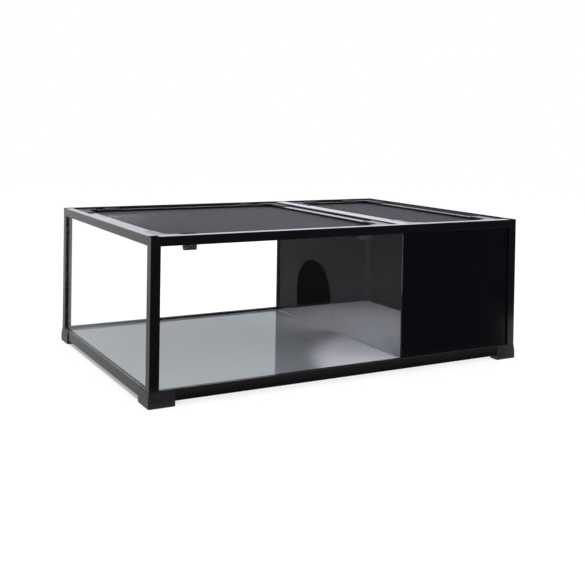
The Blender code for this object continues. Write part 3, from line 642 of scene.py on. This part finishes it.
LID_X = frame_plastic("lid_plastic_along", ALONG_X, 0.14, 0.07)
LID_Y = frame_plastic("lid_plastic_across", ALONG_Y, 0.14, 0.07)
print("nine directions and gloss levels of one black plastic")

# %% [markdown]
# **Moulded plastic.** The feet, the corner plates, the top corners and the latches are
# injection moulded. They are a touch greyer and less glossy than the rails, with a fine grain.
# The latches, the frame's corners and the plates at the back of the lids are finely eroded on
# top, so they stay black where the rails beside them turn pale: there the specular level drops.

# %% Moulded plastic
def moulded_plastic(name, colour, gloss, grain_size, grain_depth, dust, top_shine=PLAIN_SHINE):
    """Black moulding with a fine grain, and gloss that varies in soft clouds. top_shine is the
    specular level of the faces that point up."""
    made, nodes, shader = start_finish(name, colour, gloss, ior=1.49)
    grain = place_group(nodes, MOULDED_GRAIN, Grain_Size=grain_size)
    dusty = place_group(nodes, SETTLED_DUST, Amount=dust)
    link(nodes, mix_colours(nodes, dusty.outputs["Dust"], colour, DUSTED_BLACK),
         shader.inputs["Base Color"])
    link(nodes, remap(nodes, grain.outputs["Cloud"], 0.3, 0.7, gloss - 0.04, gloss + 0.05),
         shader.inputs["Roughness"])
    if top_shine != PLAIN_SHINE:
        dull_top(nodes, shader, top_shine)
    round_edges(nodes, shader, EDGE_RADIUS, grain.outputs["Height"], grain_depth)
    return made


FOOT_MOULDING = moulded_plastic("foot_moulding", (0.0210, 0.0210, 0.0245),
                                0.34, 0.0009, 0.00003, 0.05)
CORNER_MOULDING = moulded_plastic("corner_moulding", (0.0065, 0.0065, 0.0078),
                                  0.20, 0.0007, 0.00001, 0.0, top_shine=0.0)
PLATE_MOULDING = moulded_plastic("lid_corner_moulding", (0.0090, 0.0090, 0.0105),
                                 0.30, 0.0007, 0.00002, 0.22)
DARK_PLATE_MOULDING = moulded_plastic("dark_plate_moulding", (0.0070, 0.0070, 0.0082),
                                      0.34, 0.0007, 0.00002, 0.0, top_shine=0.02)
LATCH_MOULDING = moulded_plastic("latch_moulding", (0.0050, 0.0050, 0.0062),
                                 0.55, 0.0008, 0.00003, 0.0, top_shine=0.0)
print("five mouldings")

# %% [markdown]
# **Clear glass.** The panes are real solids, so a shader with full transmission bends light in
# and out of them. Lamps can't find their way through such glass, so for shadow rays it turns
# into a plain transparent sheet. The sheet in the photograph mirrors very little, so its index
# is lower than that of window glass, and a faint wipe pattern keeps it from being perfectly
# even. Its cut edges are dark, as real ones are, because light that enters there gets lost in
# the sheet. The left pane, which the camera sees aslant, has a slightly deeper tint. The
# divider is a smooth smoky sheet with a faint haze, polished edges and no wipe marks, and it
# lets about half of a lamp's light through.

# %% Clear glass
CUT_EDGE = (0.03, 0.04, 0.04)
WIPE_SCALE, WIPE_TURN = (2.0, 9.0, 3.0), (0.4, 0.7, 0.3)
WIPE_ROUGHNESS = 0.02


def clear_glass(name, tint, ior, flat_axis, edge=CUT_EDGE, wiped=True, clear=1.0,
                shade=(0.96, 0.97, 0.97)):
    """Glass that transmits to the eye, and is a tinted transparent sheet for shadow rays. A face
    that doesn't point along flat_axis is a cut edge, with its own tint. What clear leaves over
    is a milky share, which gives a smoky sheet its even haze."""
    made, nodes, shader = start_finish(name, tint, 0.0, ior=ior)
    shader.inputs["Transmission Weight"].default_value = clear
    normal = xyz_parts(nodes, nodes.nodes.new("ShaderNodeNewGeometry").outputs["True Normal"])
    flat = math_node(nodes, "GREATER_THAN", math_node(nodes, "ABSOLUTE", normal[flat_axis]), 0.5)
    link(nodes, mix_colours(nodes, flat, edge, tint), shader.inputs["Base Color"])
    if wiped:
        smear = noise_node(nodes, stretched(nodes, object_place(nodes), WIPE_SCALE, WIPE_TURN),
                           1.6, 5.0, 0.55)
        link(nodes, remap(nodes, smear, 0.45, 0.8, 0.0, WIPE_ROUGHNESS), shader.inputs["Roughness"])
    sheet = nodes.nodes.new("ShaderNodeBsdfTransparent")
    sheet.inputs["Color"].default_value = (*shade, 1.0)
    rays = nodes.nodes.new("ShaderNodeLightPath")
    chosen = mix_shaders(nodes, rays.outputs["Is Shadow Ray"], shader.outputs[0], sheet.outputs[0])
    link(nodes, chosen, nodes.nodes["Material Output"].inputs["Surface"])
    return made


PANE_ALONG = clear_glass("clear_glass_along", (0.995, 1.0, 0.998), 1.12, "Y")
PANE_ACROSS = clear_glass("clear_glass_across", (0.930, 0.938, 0.936), 1.10, "X")
DIVIDER_GLASS = clear_glass("divider_glass", (0.90, 0.91, 0.92), 1.05, "X",
                            edge=(0.84, 0.88, 0.92), wiped=False, clear=0.985,
                            shade=(0.45, 0.47, 0.50))
print("glass for the panes and the divider")

# %% [markdown]
# **Hide panels.** Smooth black sheet. Rolled sheet is never quite flat, so a very shallow, slow
# wave is laid over it: it bends reflections softly, as the real sheet does. The face towards the
# inside is matte, so that the hide is a plain dark room when it is seen through the divider. A
# face points outwards where its normal agrees with its place, seen from the middle of the tank.

# %% Hide panels
SHEET_BLACK = (0.0046, 0.0048, 0.0072)
SHEET_OUTSIDE, OUTER_SHINE = (0.0040, 0.0042, 0.0068), 0.36
# The inside face is matte, and its darker colour is painted shade for the dark room of the hide.
INSIDE_PAINTED_SHADE, INSIDE_ROUGHER = (0.0008, 0.0013, 0.0016), 0.4
SHEET_EDGE, SHEET_WAVE = 0.0004, 0.0008


def black_sheet(name):
    """Black sheet: glossy outside, slow waves, faint clouds; matte inside with painted shade."""
    made, nodes, shader = start_finish(name, SHEET_BLACK, 0.16, ior=1.45)
    place = object_place(nodes)
    wave = noise_node(nodes, place, 3.5, 1.0)
    haze = noise_node(nodes, place, 14.0, 5.0, 0.6)
    agree = nodes.nodes.new("ShaderNodeVectorMath")
    agree.operation = "DOT_PRODUCT"
    link(nodes, nodes.nodes.new("ShaderNodeNewGeometry").outputs["True Normal"], agree.inputs[0])
    link(nodes, place, agree.inputs[1])
    outward = math_node(nodes, "GREATER_THAN", agree.outputs["Value"], 0.0)
    link(nodes, remap(nodes, outward, 0.0, 1.0, 0.0, OUTER_SHINE),
         shader.inputs["Specular IOR Level"])
    link(nodes, mix_colours(nodes, outward, INSIDE_PAINTED_SHADE, SHEET_OUTSIDE),
         shader.inputs["Base Color"])
    inward = math_node(nodes, "SUBTRACT", 1.0, outward)
    link(nodes, math_node(nodes, "MULTIPLY_ADD", inward, INSIDE_ROUGHER,
                          remap(nodes, haze, 0.3, 0.7, 0.12, 0.20)), shader.inputs["Roughness"])
    round_edges(nodes, shader, SHEET_EDGE, wave, SHEET_WAVE)
    return made


HIDE_SHEET = black_sheet("hide_sheet")
print(HIDE_SHEET.name)

# %% [markdown]
# **Floor panel.** A glossy grey sheet. It shows its own dark grey where it mirrors the black
# hide, and turns pale where it mirrors the white studio through the back glass.

# %% Floor panel
SCUFF_SCALE, SCUFF_TURN = (6.0, 60.0, 1.0), (0.0, 0.0, 0.5)


def grey_floor_sheet(name):
    """Gloss grey sheet with fine scuffs and a cool cast in soft clouds."""
    made, nodes, shader = start_finish(name, (0.265, 0.266, 0.294), 0.05, ior=1.40)
    place = object_place(nodes)
    cloud = noise_node(nodes, place, 3.0, 4.0, 0.55)
    link(nodes, mix_colours(nodes, cloud, (0.254, 0.253, 0.282), (0.277, 0.280, 0.308)),
         shader.inputs["Base Color"])
    scuff = noise_node(nodes, stretched(nodes, place, SCUFF_SCALE, SCUFF_TURN), 3.0, 6.0, 0.65)
    link(nodes, remap(nodes, scuff, 0.45, 0.8, 0.035, 0.12), shader.inputs["Roughness"])
    return made


FLOOR_SHEET = grey_floor_sheet("floor_sheet")
print(FLOOR_SHEET.name)

# %% [markdown]
# **Hinge pins.** Drawn steel wire, with fine lines along the pin.

# %% Hinge pins
def steel_wire(name):
    """Steel with drawn lines in its gloss."""
    made, nodes, shader = start_finish(name, (0.55, 0.55, 0.56), 0.28, metallic=1.0)
    lines = place_group(nodes, DRAWN_LINES, Stretch=ALONG_X)
    link(nodes, remap(nodes, lines.outputs["Lines"], 0.3, 0.7, 0.20, 0.38),
         shader.inputs["Roughness"])
    return made


PIN_STEEL = steel_wire("pin_steel")
print(PIN_STEEL.name)

# %% [markdown]
# ## Dressing the construction pieces
#
# Every solid keeps its shape and only changes its finish. A table from name patterns to
# finishes does it in one pass: the first pattern that fits a piece's name counts, and the loop
# stops if a piece was forgotten.

# %% Give every construction piece its finish
FINISHES = (
    ("left_glass", PANE_ACROSS), ("*_glass", PANE_ALONG), ("divider", DIVIDER_GLASS),
    ("*hide_panel*", HIDE_SHEET), ("floor_panel", FLOOR_SHEET), ("foot_*", FOOT_MOULDING),
    ("top_corner_*", CORNER_MOULDING), ("*hinge_pin*", PIN_STEEL),
    ("*lid_corner_front*", PLATE_MOULDING), ("*lid_corner_back*", DARK_PLATE_MOULDING),
    ("*hinge_leaf*", DARK_PLATE_MOULDING), ("latch_*", LATCH_MOULDING),
    ("left_top_rail", WORN_Y), ("large_lid_left_rail", WORN_Y),
    ("*_lid_left_rail", LID_Y), ("*_lid_right_rail", LID_Y), ("*_lid_*_rail", LID_X),
    ("*_channel", CHANNEL_BLACK), ("post_*", FRAME_Z), ("back_top_rail", DULL_X),
    ("right_top_rail", DULL_Y), ("crossbar", FRAME_Y), ("left_*_rail", FRAME_Y),
    ("right_*_rail", FRAME_Y), ("front_*_rail", FRAME_X), ("back_*_rail", FRAME_X))


def finish_for(node):
    """The finish of a piece, from the first pattern that its name fits."""
    return next(finish for pattern, finish in FINISHES if fnmatch.fnmatchcase(node, pattern))


SCREENS = ("large_lid_screen", "small_lid_screen")
for node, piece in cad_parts.items():
    if node in SCREENS:
        continue
    chosen = finish_for(node)
    if len(piece.material_slots) == 0:
        piece.data.materials.append(chosen)
    for slot in piece.material_slots:
        slot.material = chosen
print("finished", len(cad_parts) - len(SCREENS), "pieces")

# %% [markdown]
# ## The screens
#
# The construction model holds each screen as a coarse net. The real one is woven from fine
# wire, with holes of less than two millimetres. Wires as meshes would be millions of faces, so
# the screen is made of thin sheets that sag a little between its rails, and their material cuts
# the holes: it is opaque where a wire runs, and clear in between. Two sheets, one just above the
# other, stand for the thickness of the wires. From above their holes lie over each other, and
# at a shallow angle the wires close the view, as they do on the real screen.

# %% Woven wire as a node group
WIRE_PITCH = 0.0018
WIRE_SHARE = 0.34


def build_woven_wire():
    """Two families of wires. Across a wire, t runs from -1 to 1 and its height is the root of
    1 - t squared. Each wire rises and dips by a cosine along its length, in turn with its
    neighbours, and the higher wire of the two is the one that shows."""
    group, given, result = start_group(
        "woven_wire",
        [("Pitch", "NodeSocketFloat", WIRE_PITCH), ("Share", "NodeSocketFloat", WIRE_SHARE)],
        [("Wire", "NodeSocketFloat"), ("Height", "NodeSocketFloat")])
    place = xyz_parts(group, object_place(group))
    steps = [math_node(group, "DIVIDE", place[axis], given.outputs["Pitch"]) for axis in "XY"]
    masks, heights = [], []
    for across, along in ((steps[1], steps[0]), (steps[0], steps[1])):
        offset = math_node(group, "SUBTRACT", math_node(group, "FRACT", across), 0.5)
        t = math_node(group, "DIVIDE", math_node(group, "ABSOLUTE", offset),
                      math_node(group, "MULTIPLY", given.outputs["Share"], 0.5))
        masks.append(math_node(group, "LESS_THAN", t, 1.0))
        squared = math_node(group, "MULTIPLY", t, t, clamp=True)
        round_part = math_node(group, "SQRT",
                               math_node(group, "SUBTRACT", 1.0, squared, clamp=True))
        turn = math_node(group, "ADD", math_node(group, "FLOOR", across), along)
        wave = math_node(group, "COSINE", math_node(group, "MULTIPLY", turn, math.pi))
        if along is steps[1]:
            wave = math_node(group, "MULTIPLY", wave, -1.0)
        raised = math_node(group, "MULTIPLY_ADD", wave, 0.5, round_part)
        heights.append(math_node(group, "MULTIPLY", raised, masks[-1]))
    link(group, math_node(group, "MAXIMUM", *masks), result.inputs["Wire"])
    link(group, math_node(group, "MAXIMUM", *heights), result.inputs["Height"])
    return group


WOVEN_WIRE = build_woven_wire()
print("holes of", round(1000 * WIRE_PITCH * (1 - WIRE_SHARE), 2), "mm")

# %% [markdown]
# The finish takes its opacity from the wires. The wire has a dark coat, a little purple, that
# varies in faint streaks across the lid.

# %% The screen's finish
WIRE_COAT = (0.0262, 0.0235, 0.0307)
WIRE_COAT_DARK, WIRE_COAT_PALE = (0.0226, 0.0198, 0.0270), (0.0306, 0.0270, 0.0360)
WIRE_SHINE = 0.14
WIRE_HEIGHT = 0.0002
STREAK_SCALE = (2.0, 60.0, 1.0)


def wire_screen(name):
    """Dark coated wire: opaque on the wires, clear in the holes, with a faint uneven coat."""
    made, nodes, shader = start_finish(name, WIRE_COAT, 0.50, ior=1.40)
    shader.inputs["Specular IOR Level"].default_value = WIRE_SHINE
    weave = place_group(nodes, WOVEN_WIRE, Pitch=WIRE_PITCH, Share=WIRE_SHARE)
    streaks = stretched(nodes, object_place(nodes), STREAK_SCALE)
    uneven = noise_node(nodes, streaks, 2.0, 4.0, 0.6)
    link(nodes, mix_colours(nodes, uneven, WIRE_COAT_DARK, WIRE_COAT_PALE),
         shader.inputs["Base Color"])
    link(nodes, weave.outputs["Wire"], shader.inputs["Alpha"])
    bump = nodes.nodes.new("ShaderNodeBump")
    bump.inputs["Distance"].default_value = WIRE_HEIGHT
    link(nodes, weave.outputs["Height"], bump.inputs["Height"])
    link(nodes, bump.outputs[0], shader.inputs["Normal"])
    return made


WIRE_SCREEN = wire_screen("wire_screen")
print(WIRE_SCREEN.name)

# %% [markdown]
# A sheet is a surface over two parameters, u across the lid and v along it. Its height is that
# of the groove less the sag times sin(pi u) sin(pi v), which is nothing at the rails and most in
# the middle. A second layer below the first, joined round the rim, gives it thickness.

# %% Helpers for surfaces
SHARP_FROM = math.radians(40)


def sheet_grid(count_u, count_v):
    """u and v from 0 to 1 as two arrays of shape (count_u, count_v)."""
    return np.meshgrid(np.linspace(0, 1, count_u), np.linspace(0, 1, count_v), indexing="ij")


def grid_faces(count_u, count_v, start=0, flip=False):
    """Four corner indices of every cell of a grid, as one array."""
    index = start + np.arange(count_u * count_v).reshape(count_u, count_v)
    quads = np.stack([index[:-1, :-1], index[1:, :-1], index[1:, 1:], index[:-1, 1:]], axis=-1)
    quads = quads.reshape(-1, 4)
    return quads[:, ::-1] if flip else quads


def mesh_piece(name, points, faces, material):
    """A new smooth-shaded object at the origin from arrays of points and corners of faces."""
    mesh = bpy.data.meshes.new(name)
    mesh.from_pydata(points.tolist(), [], [list(face) for face in faces])
    mesh.materials.append(material)
    mesh.validate()
    mesh.shade_smooth()
    mesh.set_sharp_from_angle(angle=SHARP_FROM)
    made = bpy.data.objects.new(name, mesh)
    bpy.context.scene.collection.objects.link(made)
    return made


print("surface helpers ready")

# %% [markdown]
# Each screen takes its length and width from the net that it replaces, and rides on its lid.

# %% Make the screens
SCREEN_SAG = 0.0010
SCREEN_SHEET = 0.0003
SHEET_MIDDLES = (-0.0003, 0.0003)
POINTS_PER_SIDE = 48


def sagging_sheet(low, high, offset, count=POINTS_PER_SIDE):
    """Two layers over the same grid, closed round the rim with a strip of faces."""
    u, v = sheet_grid(count, count)
    x = low[0] + (high[0] - low[0]) * u
    y = low[1] + (high[1] - low[1]) * v
    middle = (low[2] + high[2]) / 2 + offset
    z = middle + SCREEN_SHEET / 2 - SCREEN_SAG * np.sin(np.pi * u) * np.sin(np.pi * v)
    top = np.stack([x, y, z], axis=-1).reshape(-1, 3)
    bottom = top - (0.0, 0.0, SCREEN_SHEET)
    index = np.arange(count * count).reshape(count, count)
    rim = np.concatenate([index[:, 0], index[-1, 1:], index[-2::-1, -1], index[0, -2:0:-1]])
    after = np.roll(rim, -1)
    below = count * count
    wall = np.stack([rim, rim + below, after + below, after], axis=-1)
    faces = np.concatenate([grid_faces(count, count),
                            grid_faces(count, count, below, flip=True), wall])
    return np.concatenate([top, bottom]), faces


for node in SCREENS:
    low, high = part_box(node)
    sheets = [sagging_sheet(low, high, offset) for offset in SHEET_MIDDLES]
    points = np.concatenate([sheet[0] for sheet in sheets])
    faces = np.concatenate([sheet[1] + index * len(sheets[0][0])
                            for index, sheet in enumerate(sheets)])
    screen = mesh_piece(node.replace("screen", "woven_screen"), points, faces, WIRE_SCREEN)
    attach(screen, node.split("_screen")[0])
    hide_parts(node)
    print(screen.name, f"{high[0] - low[0]:.3f} x {high[1] - low[1]:.3f} m")

# %% [markdown]
# ## The bead at the divider's foot
#
# A thin pale line runs along the foot of the divider on both sides of the doorway, where the
# sheet's foot catches the light. It is a painted highlight: a small pale bead, a hollow quarter
# round carried along the foot between the sheet and the floor panel.

# %% The bead
BEAD_RADIUS = 0.0014
BEAD_SWELL, BEAD_WAVE = 0.12, 61.0
BEAD_END_GAP = 0.002
DOOR_FRONT, DOOR_BACK = 0.0170, 0.2530


def bead_run(x, z, start, end, rings=24, steps=9):
    """Profile: the corner, and a hollow quarter arc from the floor to the sheet. Its radius
    swells and thins by a slow sine along the run."""
    along = np.linspace(start, end, rings)
    size = BEAD_RADIUS * (1 + BEAD_SWELL * np.sin(along * BEAD_WAVE))
    turn = np.linspace(0, np.pi / 2, steps)
    out = np.append(1 - np.sin(turn), 0.0)
    up = np.append(1 - np.cos(turn), 0.0)
    across = x - size[:, None] * out
    points = np.stack([across, np.broadcast_to(along[:, None], across.shape),
                       z + size[:, None] * up], axis=-1)
    index = np.arange(rings * (steps + 1)).reshape(rings, steps + 1)
    after = np.roll(index, -1, axis=1)
    sides = np.stack([index[:-1], index[1:], after[1:], after[:-1]], axis=-1).reshape(-1, 4)
    return points.reshape(-1, 3), sides.tolist() + [index[0].tolist(), index[-1, ::-1].tolist()]


def pale_bead_painted_highlight(name):
    """Painted highlight: pale grey; a slow noise moves its colour and gloss."""
    made, nodes, shader = start_finish(name, (0.42, 0.41, 0.43), 0.30, ior=1.41)
    cloud = noise_node(nodes, object_place(nodes), 40.0, 3.0)
    link(nodes, mix_colours(nodes, cloud, (0.30, 0.29, 0.31), (0.54, 0.53, 0.55)),
         shader.inputs["Base Color"])
    link(nodes, remap(nodes, cloud, 0.3, 0.7, 0.22, 0.40), shader.inputs["Roughness"])
    return made


sheet_low, sheet_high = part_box("divider")
points, faces = [], []
for start, end in ((sheet_low[1] + BEAD_END_GAP, DOOR_FRONT),
                   (DOOR_BACK, sheet_high[1] - BEAD_END_GAP)):
    run_points, run_faces = bead_run(sheet_low[0], sheet_low[2], start, end)
    faces += [[corner + sum(map(len, points)) for corner in face] for face in run_faces]
    points.append(run_points)
bead = mesh_piece("divider_foot_bead", np.concatenate(points), faces,
                  pale_bead_painted_highlight("pale_bead_painted_highlight"))
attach(bead, "tank")
print("bead of", 1000 * BEAD_RADIUS, "mm")

# %% [markdown]
# ## Screws
#
# Small screws hold the corner plates and the hinge leaves to the lid rails. One screw head is a
# surface over radius and angle: a shallow dome, with a cross pressed into it. All the screws of
# a lid are one piece, made by adding the places of the heads to one head's points.

# %% One screw head
HEAD_RADIUS = 0.0026
HEAD_RISE = 0.0007
CROSS_REACH = 0.0015
CROSS_HALF = 0.0004
CROSS_DEPTH = 0.0009


def screw_head(rings=14, spokes=32):
    """Height = rise (1 - (r / R)^2), less the cross's depth where the point is inside it."""
    share, turn = np.meshgrid(np.linspace(0, 1, rings),
                              np.linspace(0, 2 * np.pi, spokes, endpoint=False), indexing="ij")
    radius = HEAD_RADIUS * share
    x, y = radius * np.cos(turn), radius * np.sin(turn)
    z = HEAD_RISE * (1 - share ** 2)
    in_cross = (np.minimum(np.abs(x), np.abs(y)) < CROSS_HALF) & (radius < CROSS_REACH)
    z = np.where(in_cross, z - CROSS_DEPTH, z)
    points = np.stack([x, y, z], axis=-1).reshape(-1, 3)
    index = np.arange(rings * spokes).reshape(rings, spokes)
    index = np.concatenate([index, index[:, :1]], axis=1)
    faces = np.stack([index[:-1, :-1], index[1:, :-1], index[1:, 1:], index[:-1, 1:]], axis=-1)
    return points, faces.reshape(-1, 4)


HEAD_POINTS, HEAD_FACES = screw_head()
print("one head:", len(HEAD_FACES), "faces")

# %% [markdown]
# The heads go where the plates and leaves are: three on each corner plate, two on each leaf.
# Their places are worked out from the boxes of those pieces.

# %% Screws on each lid
LEG_MIDDLE = 0.018
LEG_END_INSET = 0.010
LEAF_SCREW_REACH, LEAF_SCREW_INSET = 0.018, 0.011


def black_screw(name):
    """Blackened steel, with brighter and rougher specks of wear in a fine noise."""
    made, nodes, shader = start_finish(name, (0.030, 0.030, 0.032), 0.32, metallic=0.7)
    worn = noise_node(nodes, object_place(nodes), 700.0, 3.0)
    link(nodes, mix_colours(nodes, worn, (0.020, 0.020, 0.022), (0.060, 0.060, 0.062)),
         shader.inputs["Base Color"])
    link(nodes, remap(nodes, worn, 0.3, 0.7, 0.25, 0.42), shader.inputs["Roughness"])
    return made


def plate_screw_places(node):
    """Three screws on a corner plate: one at the corner and one near the end of each leg."""
    low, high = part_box(node)
    outer_x, inner_x = (low[0], high[0]) if node.endswith("left") else (high[0], low[0])
    outer_y, inner_y = (low[1], high[1]) if "_front_" in node else (high[1], low[1])
    to_x, to_y = math.copysign(1, inner_x - outer_x), math.copysign(1, inner_y - outer_y)
    near_x, near_y = outer_x + to_x * LEG_MIDDLE, outer_y + to_y * LEG_MIDDLE
    return [(near_x, near_y, high[2]),
            (inner_x - to_x * LEG_END_INSET, near_y, high[2]),
            (near_x, inner_y - to_y * LEG_END_INSET, high[2])]


def leaf_screw_places(node):
    """Two screws on a hinge leaf, either side of its middle."""
    low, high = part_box(node)
    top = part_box(node.split("_hinge")[0] + "_corner_back_left")[1][2]
    middle = (low[0] + high[0]) / 2
    return [(middle + side * LEAF_SCREW_REACH, low[1] + LEAF_SCREW_INSET, top)
            for side in (-1, 1)]


SCREW_BLACK = black_screw("screw_black")
for lid in ("large_lid", "small_lid"):
    places = []
    for node in sorted(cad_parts):
        if node.startswith(lid + "_corner"):
            places += plate_screw_places(node)
        if node.startswith(lid + "_hinge_leaf"):
            places += leaf_screw_places(node)
    places = np.array(places)
    points = (places[:, None, :] + HEAD_POINTS[None, :, :]).reshape(-1, 3)
    faces = HEAD_FACES[None, :, :] + len(HEAD_POINTS) * np.arange(len(places))[:, None, None]
    screws = mesh_piece(lid + "_screws", points, faces.reshape(-1, 4), SCREW_BLACK)
    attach(screws, lid)
    print(screws.name, len(places), "screws")
